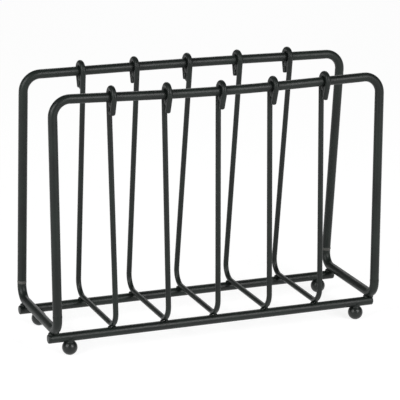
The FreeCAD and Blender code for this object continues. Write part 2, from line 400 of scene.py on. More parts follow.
# Painted highlight: the back butt weld rings are real lumps, and this pale grey on them paints a bright
# highlight.
PALE_WELD_HIGHLIGHT = PowderCoat("pale_weld_painted_highlight", "weld_paint", paint=(92, 92, 88), deep=(58, 58, 55),
                        dust=(140, 138, 132), roughness=0.40, specular=0.5, peel_height=0.16 * MM,
                        speck_share=2.2)


# ---------------------------------------------------------------- rods

AlongLine = Callable[[np.ndarray], np.ndarray]


@dataclass
class Centreline:
    """Straight runs joined by tangent arcs, in one plane."""

    corners: Sequence[np.ndarray]
    radii: Sequence[float]
    starts: list[float] = field(default_factory=list)
    pieces: list[tuple[AlongLine, AlongLine, float]] = field(default_factory=list)

    def __post_init__(self) -> None:
        """Lay out the runs and arcs one after another.

        An arc of radius r between headings a and b, with a half turn h, starts r * tan(h) before
        its corner. Its centre is r away from that start, square to a, on b's side.
        """
        points = [np.asarray(c, dtype=float) for c in self.corners]
        start, travelled = points[0], 0.0
        for before, corner, after, radius in zip(points, points[1:], points[2:], self.radii):
            a, b = unit(corner - before), unit(after - corner)
            turn = math.acos(float(np.clip(a @ b, -1.0, 1.0)))
            arc_start = corner - a * radius * math.tan(turn / 2)
            travelled = self._run(start, arc_start, travelled)
            inward = unit(b - a * (a @ b))
            travelled = self._arc(arc_start, a, inward, radius, turn, travelled)
            start = corner + b * radius * math.tan(turn / 2)
        self.length = self._run(start, points[-1], travelled)

    def _run(self, start: np.ndarray, end: np.ndarray, travelled: float) -> float:
        """Add a straight run: start + heading * s."""
        length = float(np.linalg.norm(end - start))
        if length < 1e-9:
            return travelled
        heading = (end - start) / length
        self.starts.append(travelled)
        self.pieces.append((lambda s: start + heading * s[:, None],
                            lambda s: np.broadcast_to(heading, (len(s), 3)), 0.0))
        return travelled + length

    def _arc(self, start: np.ndarray, heading: np.ndarray, inward: np.ndarray, radius: float,
             turn: float, travelled: float) -> float:
        """Add an arc: centre + radius * (sin(s / radius) * heading - cos(s / radius) * inward)."""
        centre = start + inward * radius
        self.starts.append(travelled)
        self.pieces.append((
            lambda s: centre + radius * (np.sin(s / radius)[:, None] * heading
                                         - np.cos(s / radius)[:, None] * inward),
            lambda s: np.cos(s / radius)[:, None] * heading + np.sin(s / radius)[:, None] * inward,
            1.0 / radius))
        return travelled + radius * turn

    def at(self, s: np.ndarray) -> tuple[np.ndarray, np.ndarray, np.ndarray]:
        """Places, headings and curvatures at distances along the line.

        Args:
            s: Distances from the start, in metres.

        Returns:
            Points, unit tangents and curvatures, one for each distance.
        """
        places, headings, bends = np.zeros((len(s), 3)), np.zeros((len(s), 3)), np.zeros(len(s))
        which = np.clip(np.searchsorted(self.starts, s, side="right") - 1, 0, len(self.starts) - 1)
        for index, (place, heading, bend) in enumerate(self.pieces):
            chosen = which == index
            local = s[chosen] - self.starts[index]
            places[chosen], headings[chosen], bends[chosen] = place(local), heading(local), bend
        return places, headings, bends

    def stations(self, run_step: float, arc_turn: float) -> np.ndarray:
        """Distances for the rings.

        Args:
            run_step: Longest step along a run, in metres.
            arc_turn: Largest turn from ring to ring of an arc, in radians.

        Returns:
            The distances, from the line's start to its end.
        """
        marks = [*self.starts, self.length]
        spread = []
        for (_, _, bend), low, high in zip(self.pieces, marks, marks[1:]):
            count = max(2, math.ceil((high - low) / run_step), math.ceil((high - low) * bend / arc_turn))
            spread.append(np.linspace(low, high, count, endpoint=False))
        return np.concatenate([*spread, [self.length]])


@dataclass
class SteelRod:
    """Round rod along a centreline that lies in one plane."""

    name: str
    line: Centreline
    normal: np.ndarray
    radius: float
    seed: int
    around: int = 40
    run_step: float = 3.0 * MM
    arc_turn: float = math.radians(4.0)
    end_rounding: tuple[float, float] = (0.4 * MM, 0.4 * MM)
    unevenness: float = 0.006
    flattening: float = 0.02

    def surface(self) -> np.ndarray:
        """Section carried along the line.

        At distance s and angle t the point is C(s) + r(s, t) * (cos t * N + sin t * B(s)), with N
        the plane's normal, B = T x N, and r the rod's radius less a little unevenness, and less a
        little in the plane of a bend, where a bent rod goes oval. Near a cut end r falls along a
        quarter circle, and rings of shrinking radius close the flat of the cut.

        Returns:
            The grid of points, rings by places around a ring by xyz.
        """
        low, high = self.end_rounding
        length = self.line.length
        rim = np.linspace(0.0, math.pi / 2, 7)
        flats = np.array([0.25, 0.5, 0.75, 0.9])
        between = self.line.stations(self.run_step, self.arc_turn)
        between = between[(between > low * 1.05) & (between < length - high * 1.05)]
        s = np.concatenate([
            np.zeros(len(flats)), low * (1 - np.cos(rim)), between,
            length - high * (1 - np.cos(rim[::-1])), np.full(len(flats), length)])
        shrink = np.concatenate([
            flats * (self.radius - low), self.radius - low * (1 - np.sin(rim)),
            np.full(len(between), self.radius),
            self.radius - high * (1 - np.sin(rim[::-1])), flats[::-1] * (self.radius - high)])
        places, headings, bends = self.line.at(np.clip(s, 0.0, length))
        angle = np.linspace(0.0, 2.0 * math.pi, self.around, endpoint=False)
        n = unit(np.asarray(self.normal, dtype=float))
        b = unit(np.cross(headings, n))
        lumps = 0.5 + 0.5 * wavy(s[:, None], angle[None, :], self.seed, 9.0 * MM)
        soft = smooth_step(np.minimum(s, length - s), 0.0, 3.0 * MM)
        oval = self.flattening * np.minimum(bends * self.radius / 0.35, 1.0)
        r = shrink[:, None] * (1.0 - self.unevenness * soft[:, None] * lumps
                               - oval[:, None] * np.sin(angle)[None, :] ** 2)
        offsets = np.cos(angle)[None, :, None] * n + np.sin(angle)[None, :, None] * b[:, None, :]
        return places[:, None, :] + r[:, :, None] * offsets


# ---------------------------------------------------------------- the rack's layout

def middle(node: str) -> np.ndarray:
    """Centre of a CAD node's box."""
    low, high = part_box(node)
    return (np.array(low) + np.array(high)) / 2


@dataclass
class Layout:
    """Where the rack's rods run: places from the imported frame, bends from the bender's settings."""

    divider_radius: float = 2.8 * MM
    base_half_depth: float = 59.4 * MM
    top_half_depth: float = 46.0 * MM
    top_half_span: float = 178.0 * MM
    rises: dict[Side, float] = field(
        default_factory=lambda: {Side.FRONT: 236.6 * MM, Side.BACK: 240.8 * MM})
    dips: dict[Side, float] = field(
        default_factory=lambda: {Side.FRONT: 4.8 * MM, Side.BACK: -1.5 * MM})
    bow_share: float = 0.45
    top_corner: float = 17.5 * MM
    yoke_bend: float = 14.0 * MM
    yoke_end: float = 3.0 * MM
    butt_length: float = 2.4 * MM
    divider_bend: float = 15.5 * MM
    bend_inset: float = 1.8 * MM
    hook_clearance: float = 0.3 * MM
    hook_tuck: float = math.radians(17.0)
    tip_drop: float = 18.0 * MM
    leans: tuple[int, ...] = (-1, -1, 1, 1, 1)

    def __post_init__(self) -> None:
        """Read the frame's boxes."""
        low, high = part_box("front_base_rail")
        self.rod_radius = (high.z - low.z) / 2
        self.rail_z = (high.z + low.z) / 2
        self.rail_half_depth = abs(float(middle("front_base_rail")[1]))
        self.base_half_span = float(middle("right_base_yoke")[0] - middle("left_base_yoke")[0]) / 2
        self.yoke_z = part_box("left_base_yoke")[0].z + self.rod_radius
        self.divider_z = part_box("divider_3")[0].z + self.divider_radius
        self.hook_radius = self.rod_radius + self.hook_clearance + self.divider_radius

    def leg_corners(self, side: Side, end: End) -> tuple[np.ndarray, np.ndarray]:
        """Where a leg's line meets the yoke's line and the top rail's line."""
        base = np.array([end.value * self.base_half_span, side.value * self.base_half_depth, self.yoke_z])
        top = np.array([end.value * self.top_half_span, side.value * self.top_half_depth,
                        self.yoke_z + self.rises[side]])
        return base, top

    def butt(self, side: Side, end: End) -> tuple[np.ndarray, np.ndarray]:
        """Centre of a leg's butt weld, and the leg's upward heading.

        The weld lies past the yoke's bend, whose tangent is bend * tan((90 degrees - lean) / 2).
        """
        base, top = self.leg_corners(side, end)
        lean = math.atan2(self.base_half_depth - self.top_half_depth, self.rises[side])
        reach = self.yoke_bend * math.tan((math.pi / 2 - lean) / 2)
        heading = unit(top - base)
        return base + heading * (reach + self.yoke_end + self.butt_length / 2), heading

    def top_z(self, side: Side, x: float) -> float:
        """Height of a top rail's centreline: two straight slopes with an arc between them."""
        dip = self.dips[side]
        half_turn = math.atan2(abs(dip), self.top_half_span)
        radius = self.bow_share * self.top_half_span / math.tan(half_turn)
        rise = abs(x) * math.tan(half_turn)
        if abs(x) < radius * math.sin(half_turn):
            rise = radius / math.cos(half_turn) - math.sqrt(radius ** 2 - x ** 2)
        return self.yoke_z + self.rises[side] - math.copysign(abs(dip) - rise, dip)

    def bow_radius(self, side: Side) -> float:
        """Radius of the gentle bow in the middle of a top rail."""
        return self.bow_share * self.top_half_span * self.top_half_span / abs(self.dips[side])

    def crossing(self, side: Side, x: float) -> np.ndarray:
        """Where a rod at x lies on top of a base rail."""
        return np.array([x, side.value * self.rail_half_depth, self.rail_z + self.rod_radius])

    def divider_places(self, index: int) -> tuple[float, float]:
        """X of a divider at the base and at the top, from its box and the way it leans."""
        low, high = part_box(f"divider_{index + 1}")
        lean = self.leans[index] * ((high.x - low.x) / 2 - self.divider_radius)
        centre = (high.x + low.x) / 2
        return centre - lean, centre + lean


@dataclass
class DividerPlane:
    """The upright plane of one divider."""

    layout: Layout
    index: int

    def __post_init__(self) -> None:
        """Work out the plane's lean."""
        self.base_x, self.top_x = self.layout.divider_places(self.index)
        top = (self.layout.top_z(Side.FRONT, self.top_x) + self.layout.top_z(Side.BACK, self.top_x)) / 2
        self.lean = math.atan2(self.top_x - self.base_x, top - self.layout.divider_z)

    def point(self, side: Side, outward: float, up: float) -> np.ndarray:
        """Place outward from the rack's middle and up the plane from the base."""
        return np.array([self.base_x + up * math.sin(self.lean), side.value * outward,
                         self.layout.divider_z + up * math.cos(self.lean)])

    def rail_up(self, side: Side) -> float:
        """How far up the plane the top rail's centreline crosses it."""
        return (self.layout.top_z(side, self.top_x) - self.layout.divider_z) / math.cos(self.lean)

    def leg(self, side: Side) -> tuple[float, float]:
        """Lean of a leg, and how far out its base corner lies.

        The leg's line is tangent to the hook's circle, lean = atan(out / up) + asin(r / distance),
        and its corner depends on the lean in turn, so the two are settled by repeated steps.
        """
        plan, lean = self.layout, 0.0
        for _ in range(LEG_STEPS):
            tangent = plan.divider_bend * math.tan((math.pi / 2 - lean) / 2)
            corner = plan.rail_half_depth - plan.bend_inset + tangent
            out, up = corner - plan.top_half_depth, self.rail_up(side)
            lean = math.atan2(out, up) + math.asin(plan.hook_radius / math.hypot(out, up))
        return lean, corner

    def half(self, side: Side) -> list[np.ndarray]:
        """Corners from the hook's tip, over the top rail and down the leg to the base corner.

        The hook's arc is split in three, and each part's corner is at radius / cos(part / 2).
        """
        plan = self.layout
        lean, corner = self.leg(side)
        up = self.rail_up(side)
        arc = (math.pi + plan.hook_tuck + lean) / 3
        reach = plan.hook_radius / math.cos(arc / 2)
        points = [self.point(side, corner, 0.0)]
        for step in range(3):
            angle = (step + 0.5) * arc - lean
            outward = plan.top_half_depth - reach * math.cos(angle)
            points.append(self.point(side, outward, up + reach * math.sin(angle)))
        tuck_sin, tuck_cos = math.sin(plan.hook_tuck), math.cos(plan.hook_tuck)
        stub = (plan.tip_drop - plan.hook_radius * tuck_sin) / tuck_cos
        tip = plan.top_half_depth + plan.hook_radius * tuck_cos - stub * tuck_sin
        points.append(self.point(side, tip, up - plan.tip_drop))
        return points[::-1]


# ---------------------------------------------------------------- sub-assemblies

def wear(grid: np.ndarray, rubbed_and_sheen: np.ndarray | float = 0.0, speckled: np.ndarray | float = 0.0,
         pooled_and_shade: np.ndarray | float = 0.0) -> dict[str, np.ndarray]:
    """Marks that a finish reads, each spread over the points of a grid."""
    still = np.zeros(grid.shape[:2])
    return {"rubbed_and_sheen": still + rubbed_and_sheen, "speckled": still + speckled, "pooled_and_shade": still + pooled_and_shade}


def check_box(piece: bpy.types.Object, node: str) -> None:
    """Log the largest difference between a piece's box and its CAD node's box."""
    points = np.zeros(len(piece.data.vertices) * 3)
    piece.data.vertices.foreach_get("co", points)
    points = points.reshape(-1, 3)
    box = np.stack([points.min(axis=0), points.max(axis=0)])
    gap = np.abs(box - np.array(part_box(node))).max()
    log.info("%s: %d points, box within %.2f mm of %s", piece.name, len(points), gap / MM, node)


def paint_rod(name: str, grid: np.ndarray, marks: dict[str, np.ndarray], node: str) -> None:
    """Make a rod from its points and marks, paint it and let it stand for its CAD node."""
    piece = closed_surface(name, grid, marks)
    ROD_PAINT.dress(piece, node)
    check_box(piece, node)


@dataclass
class Hoops:
    """The two leaning hoops: legs and top rails bent from one rod each."""

    layout: Layout
    planes: list[DividerPlane]

    def line(self, side: Side) -> Centreline:
        """Up one leg, along the bowed top rail and down the other leg."""
        plan = self.layout
        feet, tops = [], []
        for end in End:
            centre, heading = plan.butt(side, end)
            feet.append(centre + heading * plan.butt_length / 2)
            tops.append(plan.leg_corners(side, end)[1])
        centre = (tops[0] + tops[1]) / 2 - np.array([0.0, 0.0, plan.dips[side]])
        corners = [feet[0], tops[0], centre, tops[1], feet[1]]
        return Centreline(corners, [plan.top_corner, plan.bow_radius(side), plan.top_corner])

    def marks(self, side: Side, grid: np.ndarray) -> dict[str, np.ndarray]:
        """Rough paint and painted shade where the dividers hook over, and lighter wear that is also a painted
        sheen along the top of the rail.
        """
        plan = self.layout
        hooks = np.array([[p.top_x, side.value * plan.top_half_depth, plan.top_z(side, p.top_x)]
                          for p in self.planes])
        top = plan.yoke_z + plan.rises[side]
        # Painted sheen: the top of the rail is made lighter in uneven streaks; painted shade is laid where the
        # dividers hook over.
        crest = smooth_step(grid[..., 2], top - 1.5 * MM, top + plan.rod_radius)
        rub_and_sheen_lanes = 0.5 + 0.5 * wavy(grid[..., 0], np.zeros(grid.shape[:2]), 41 + side.value, 16.0 * MM)
        return wear(grid, rubbed_and_sheen=0.22 * crest * rub_and_sheen_lanes, speckled=closeness(grid, hooks, 9.0 * MM),
                    pooled_and_shade=0.6 * closeness(grid, hooks, 5.0 * MM))

    def build(self) -> None:
        """Make both hoops."""
        for side in Side:
            name = f"{side.word}_hoop"
            base, top = self.layout.leg_corners(side, End.LEFT)
            normal = np.cross([1.0, 0.0, 0.0], [0.0, top[1] - base[1], top[2] - base[2]])
            rod = SteelRod(name + "_rod", self.line(side), normal, self.layout.rod_radius,
                           11 + side.value, around=48)
            grid = rod.surface()
            paint_rod(rod.name, grid, self.marks(side, grid), name)


@dataclass
class BaseYokes:
    """The two cross pieces whose ends turn up to meet the hoops' legs."""

    layout: Layout

    def line(self, end: End) -> Centreline:
        """Down into the front bend, across, and up out of the back bend."""
        plan = self.layout
        tips, corners = [], []
        for side in Side:
            centre, heading = plan.butt(side, end)
            tips.append(centre - heading * plan.butt_length / 2)
            corners.append(plan.leg_corners(side, end)[0])
        return Centreline([tips[0], *corners, tips[1]], [plan.yoke_bend, plan.yoke_bend])

    def marks(self, end: End, grid: np.ndarray) -> dict[str, np.ndarray]:
        """Thick paint where the yoke crosses the rails, mixed darker there as painted shade."""
        crossings = np.array([self.layout.crossing(side, end.value * self.layout.base_half_span)
                              for side in Side])
        return wear(grid, speckled=0.35 * closeness(grid, crossings, 9.0 * MM),
                    pooled_and_shade=closeness(grid, crossings, 6.0 * MM))

    def build(self) -> None:
        """Make both yokes."""
        for end in End:
            name = f"{end.word}_base_yoke"
            rod = SteelRod(name + "_rod", self.line(end), np.array([1.0, 0.0, 0.0]),
                           self.layout.rod_radius, 23 + end.value, around=48, run_step=2.0 * MM)
            grid = rod.surface()
            paint_rod(rod.name, grid, self.marks(end, grid), name)


@dataclass
class BaseRails:
    """The two straight rails that carry the yokes, the dividers and the feet."""

    layout: Layout
    planes: list[DividerPlane]
    end_rounding: float = 1.2 * MM

    def marks(self, side: Side, grid: np.ndarray) -> dict[str, np.ndarray]:
        """Wear on the rims at the cut ends, and thick paint at the crossings, mixed darker there as painted
        shade.
        """
        places = [p.base_x for p in self.planes]
        places += [end.value * self.layout.base_half_span for end in End]
        crossings = np.array([self.layout.crossing(side, x) for x in places])
        low, high = grid[..., 0].min(), grid[..., 0].max()
        to_end = np.minimum(grid[..., 0] - low, high - grid[..., 0])
        rim = 1.0 - smooth_step(to_end, 0.2 * MM, 1.6 * MM)
        return wear(grid, rubbed_and_sheen=0.35 * rim, speckled=0.4 * closeness(grid, crossings, 7.0 * MM),
                    pooled_and_shade=closeness(grid, crossings, 5.0 * MM))

    def build(self) -> None:
        """Make both rails."""
        for side in Side:
            name = f"{side.word}_base_rail"
            low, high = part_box(name)
            y, z = (low.y + high.y) / 2, (low.z + high.z) / 2
            line = Centreline([np.array([low.x, y, z]), np.array([high.x, y, z])], [])
            rod = SteelRod(name + "_rod", line, np.array([0.0, 1.0, 0.0]), self.layout.rod_radius,
                           31 + side.value, around=48,
                           end_rounding=(self.end_rounding, self.end_rounding))
            grid = rod.surface()
            paint_rod(rod.name, grid, self.marks(side, grid), name)


@dataclass
class Dividers:
    """The five lighter rods, hooked over both top rails."""

    layout: Layout
    planes: list[DividerPlane]
    tip_roundings: tuple[float, ...] = (2.3 * MM, 1.5 * MM, 1.8 * MM, 2.1 * MM, 0.25 * MM)
    back_tip_rounding: float = 1.5 * MM
    front_lifts: tuple[float, ...] = (1.0 * MM, 1.7 * MM, 0.4 * MM, 0.3 * MM, 0.0)
    back_lifts: tuple[float, ...] = (0.5 * MM, 0.2 * MM, 0.0, 0.0, 0.0)

    def build(self) -> None:
        """Make the five dividers, each with its own cut at the front tip."""
        for plane, front_tip in zip(self.planes, self.tip_roundings):
            front, back = plane.half(Side.FRONT), plane.half(Side.BACK)[::-1]
            hook, bend = self.layout.hook_radius, self.layout.divider_bend
            line = Centreline(front + back, [hook, hook, hook, bend, bend, hook, hook, hook])
            normal = np.array([math.cos(plane.lean), 0.0, -math.sin(plane.lean)])
            name = f"divider_{plane.index + 1}"
            rod = SteelRod(name + "_rod", line, normal, self.layout.divider_radius,
                           51 + plane.index, around=36, arc_turn=math.radians(6.0),
                           end_rounding=(front_tip, self.back_tip_rounding))
            grid = self.pulled_up(rod.surface(), plane)
            paint_rod(rod.name, grid, self.marks(plane, grid), name)

    def pulled_up(self, grid: np.ndarray, plane: DividerPlane) -> np.ndarray:
        """Raise each hook's crest by its own slack.

        The height is z + lift * step, and the step goes from zero at the rail's middle to one at
        the crest.

        Args:
            grid: The rod's points.
            plane: The divider's plane.

        Returns:
            The points, with the crests raised.
        """
        plan = self.layout
        raised = grid.copy()
        for side, lifts in ((Side.FRONT, self.front_lifts), (Side.BACK, self.back_lifts)):
            rail = plan.top_z(side, plane.top_x)
            here = grid[..., 1] * side.value > 0
            crest = smooth_step(grid[..., 2], rail, rail + plan.hook_radius + plan.divider_radius)
            raised[..., 2] += np.where(here, lifts[plane.index] * crest, 0.0)
        return raised

    def marks(self, plane: DividerPlane, grid: np.ndarray) -> dict[str, np.ndarray]:
        """Crests that papers wear lighter, thin paint on the cut tips, and thick paint at the base welds,
        mixed darker there as painted shade.
        """
        plan = self.layout
        over = plan.hook_radius + plan.divider_radius
        crests = np.array([plane.point(side, plan.top_half_depth, plane.rail_up(side) + over)
                           for side in Side])
        tips = np.array([plane.half(side)[0] for side in Side])
        crossings = np.array([plan.crossing(side, plane.base_x) for side in Side])
        rubbed_and_sheen = np.maximum(0.3 * closeness(grid, crests, 4.0 * MM),
                            0.45 * closeness(grid, tips, 2.4 * MM))
        return wear(grid, rubbed_and_sheen=rubbed_and_sheen, speckled=0.5 * closeness(grid, crests, 12.0 * MM),
                    pooled_and_shade=closeness(grid, crossings, 5.0 * MM))


@dataclass
class BallFeet:
    """Four turned steel balls, each welded under a base rail."""

    layout: Layout
    rings: int = 56
    around: int = 64
    neck_radius: float = 4.5 * MM
    neck_flare: float = 0.85 * MM
    hidden_top: float = 0.86

    def ball(self, name: str) -> None:
        """Turn one ball.

        At angle a up from the bottom and t around, the radius from the axis is R * sin a and the
        height is R * (1 - cos a), raised to a small flat where the ball stands; the top is left
        inside the weld and the rail.
        """
        low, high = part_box(name)
        radius = (high.x - low.x) / 2
        centre = np.array([(low.x + high.x) / 2, (low.y + high.y) / 2, low.z + radius])
        polar = np.linspace(0.03, math.acos(-self.hidden_top), self.rings)[:, None]
        turn = np.linspace(0.0, 2.0 * math.pi, self.around, endpoint=False)[None, :]
        lumps = 0.5 + 0.5 * wavy(polar * radius, turn, int(1000 * abs(centre[0]) + 10 * centre[1]), 5.0 * MM)
        r = radius * (1.0 - 0.006 * lumps * np.sin(polar))
        out = r * np.sin(polar)
        height = np.maximum(-r * np.cos(polar), -radius)
        grid = centre + np.stack([out * np.cos(turn), out * np.sin(turn), height + 0 * turn], axis=-1)
        sole = 1.0 - smooth_step(grid[..., 2], 0.1 * MM, 0.7 * MM)
        neck = smooth_step(grid[..., 2], centre[2] + 0.55 * radius, centre[2] + 0.8 * radius)
        # Painted shade: the ball's top, under the rail, is mixed darker; the sole is lighter from wear.
        marks = wear(grid, rubbed_and_sheen=0.8 * sole, speckled=0.5 * neck, pooled_and_shade=0.7 * neck)
        piece = closed_surface(name + "_ball", grid, marks)
        FOOT_PAINT.dress(piece, name)
        check_box(piece, name)

    def collar(self, name: str, seed: int) -> bpy.types.Object:
        """Ring of weld in the corner between a ball and its rail.

        At share h of its height and angle t around, the radius is neck + flare * (2h - 1)^2 with a
        little unevenness, from inside the ball up to the rail's underside, which is a saddle:
        z = axis - sqrt(R^2 - y^2).

        Args:
            name: The ball's CAD node.
            seed: Seed of the ring's unevenness.

        Returns:
            The ring.
        """
        low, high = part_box(name)
        radius = (high.x - low.x) / 2
        x, y = (low.x + high.x) / 2, (low.y + high.y) / 2
        share = np.linspace(0.0, 1.0, 26)[:, None]
        turn = np.linspace(0.0, 2.0 * math.pi, self.around, endpoint=False)[None, :]
        lumps = wavy(share * 4.0 * MM, turn * 2.0, seed, 2.4 * MM)
        out = self.neck_radius + self.neck_flare * (2 * share - 1) ** 2 + 0.16 * MM * lumps
        bottom = radius + np.sqrt(np.maximum(radius ** 2 - out ** 2, 0.0)) - 0.35 * MM
        across = out * np.sin(turn)
        rod = self.layout.rod_radius
        top = self.layout.rail_z - np.sqrt(rod ** 2 - np.minimum(np.abs(across), 0.97 * rod) ** 2) + 0.3 * MM
        height = bottom + share * np.maximum(top - bottom, 0.1 * MM)
        grid = np.stack([x + out * np.cos(turn), y + across, height], axis=-1)
        # The weld collar is mixed evenly darker, painted shade in the corner under the rail.
        return closed_surface(name + "_weld", grid, wear(grid, speckled=0.6, pooled_and_shade=0.4))

    def build(self) -> None:
        """Make the balls and their welds."""
        collars = []
        for count, (side, end) in enumerate((side, end) for side in Side for end in End):
            name = f"foot_{side.word}_{end.word}"
            self.ball(name)
            collars.append(self.collar(name, 71 + count))
        WELD_PAINT.dress(joined("foot_weld_collars", collars), "foot_welds")


def joined(name: str, pieces: Sequence[bpy.types.Object]) -> bpy.types.Object:
    """One object that holds the meshes of several, which are then removed.

    Args:
        name: Name of the joined piece.
        pieces: Objects at the origin, with the same attributes.

    Returns:
        The joined piece.
    """
    for other in bpy.context.scene.objects:
        other.select_set(False)
    for piece in pieces:
        piece.select_set(True)
    bpy.context.view_layer.objects.active = pieces[0]
    if len(pieces) > 1:
        bpy.ops.object.join()
    pieces[0].name = name
    pieces[0].data.name = name
    return pieces[0]


@dataclass
class WeldBead:
    """One lump of weld metal, laid in a corner between two rods."""

    centre: np.ndarray
    radii: tuple[float, float, float]
    axes: np.ndarray
    seed: int
    roughness: float = 0.12
    rings: int = 22
    around: int = 32

    def build(self) -> bpy.types.Object:
        """Make the lump.

        At polar angle p and angle t it is an ellipsoid, centre + (a sin p cos t, b sin p sin t,
        c cos p) in its own axes, swollen by ripples of (1 + roughness * unevenness).

        Returns:
            The piece.
        """
        polar = np.linspace(0.06, math.pi - 0.06, self.rings)[:, None]
        turn = np.linspace(0.0, 2.0 * math.pi, self.around, endpoint=False)[None, :]
        swell = 1.0 + self.roughness * wavy(polar * 4.0 * MM, turn, self.seed, 3.2 * MM) * np.sin(polar) ** 0.5
        a, b, c = self.radii
        local = np.stack([a * np.sin(polar) * np.cos(turn), b * np.sin(polar) * np.sin(turn),
                          c * np.cos(polar) + 0 * turn], axis=-1) * swell[..., None]
        grid = self.centre + local @ np.asarray(self.axes)
        # Each bead is mixed evenly darker, painted shade in the corner where it lies.
        return closed_surface(f"weld_{self.seed}", grid, wear(grid, speckled=0.5, pooled_and_shade=0.3))


@dataclass
class ButtWeld:
    """The ring of weld that joins a hoop's leg to a yoke's end."""

    layout: Layout
    side: Side
    end: End
    finish: WeldFinish
    seed: int

    def build(self) -> bpy.types.Object:
        """Make the ring.

        Along the leg, at share h of the ring's length, its radius is R + bulge * (1 - (2h - 1)^2),
        roughened by the weld's ripples; a ring that was left proud is lumpier than one filed flush.

        Returns:
            The piece.
        """
        centre, heading = self.layout.butt(self.side, self.end)
        bulge, ripple, length = {
            WeldFinish.BLENDED: (0.16 * MM, 0.10 * MM, 3.6 * MM),
            WeldFinish.GROUND: (0.12 * MM, 0.07 * MM, 3.4 * MM),
            WeldFinish.PROUD: (0.36 * MM, 0.28 * MM, 3.4 * MM),
        }[self.finish]
        share = np.linspace(0.0, 1.0, 21)[:, None]
        turn = np.linspace(0.0, 2.0 * math.pi, 64, endpoint=False)[None, :]
        lumps = wavy(share * length, turn * 3.0, self.seed, 2.0 * MM, 11)
        arch = 1.0 - (2.0 * share - 1.0) ** 2
        out = self.layout.rod_radius - 0.03 * MM + bulge * arch + ripple * lumps * arch ** 0.5
        first = unit(np.cross(heading, [0.0, 1.0, 0.0]))
        second = np.cross(heading, first)
        grid = (centre + ((share - 0.5) * length)[..., None] * heading
                + (out * np.cos(turn))[..., None] * first + (out * np.sin(turn))[..., None] * second)
        return closed_surface(f"butt_{self.side.name}_{self.end.name}", grid, wear(grid, speckled=0.7))


